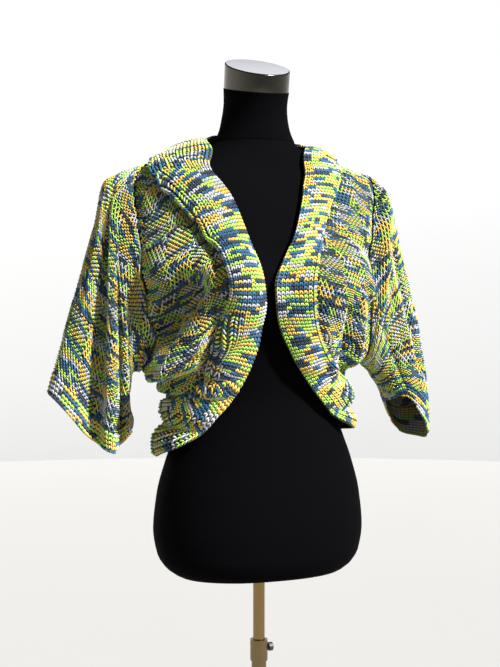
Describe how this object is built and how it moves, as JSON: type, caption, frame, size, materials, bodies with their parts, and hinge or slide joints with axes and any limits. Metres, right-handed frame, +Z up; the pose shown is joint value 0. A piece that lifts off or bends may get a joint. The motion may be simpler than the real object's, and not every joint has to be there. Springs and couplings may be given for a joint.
{
  "type": "knitted shrug cardigan on dress form stand",
  "caption": "Chunky knitted shrug cardigan with a broad ribbed band, worn by a limbless dress form on a telescopic chrome stand with a round base.",
  "frame": {"origin": "middle of the base's underside, on the pole's axis", "axes": "+Z up along the pole; the form faces -Y; the wearer's right is at -X and the wearer's left at +X"},
  "size_m": [0.6449, 0.3179, 1.5439],
  "materials": {
    "chrome": "bright, lightly brushed",
    "steel": "brushed, warm tone",
    "knob": "matte black",
    "jersey": "matte black jersey over a foam form",
    "knit": "chunky openwork knit in a variegated lime, gold, blue and pale lilac yarn",
    "rib": "chunky stocking stitch in the same variegated yarn"
  },
  "bodies": {
    "stand": {"base_plate": "chrome", "lower_tube": "steel", "clamp_collar": "steel"},
    "form": {"upper_pole": "chrome", "dress_form": "jersey", "neck_cap": "chrome", "front_right": "knit", "front_left": "knit", "back": "knit", "band_right": "rib", "band_left": "rib", "band_hem": "rib", "sleeve_right": "knit", "sleeve_left": "knit", "cuff_right": "rib", "cuff_left": "rib"},
    "screw": {"clamp_screw": "knob"}
  },
  "joints": [
    {"name": "height_slide", "type": "slide", "parent": "stand", "child": "form", "axis": [0, 0, 1], "range_m": [-0.1, 0.2]},
    {"name": "clamp_turn", "type": "hinge", "parent": "stand", "child": "screw", "pos_m": [0, 0, 0.592], "axis": [1, 0, 0], "continuous": true}
  ]
}
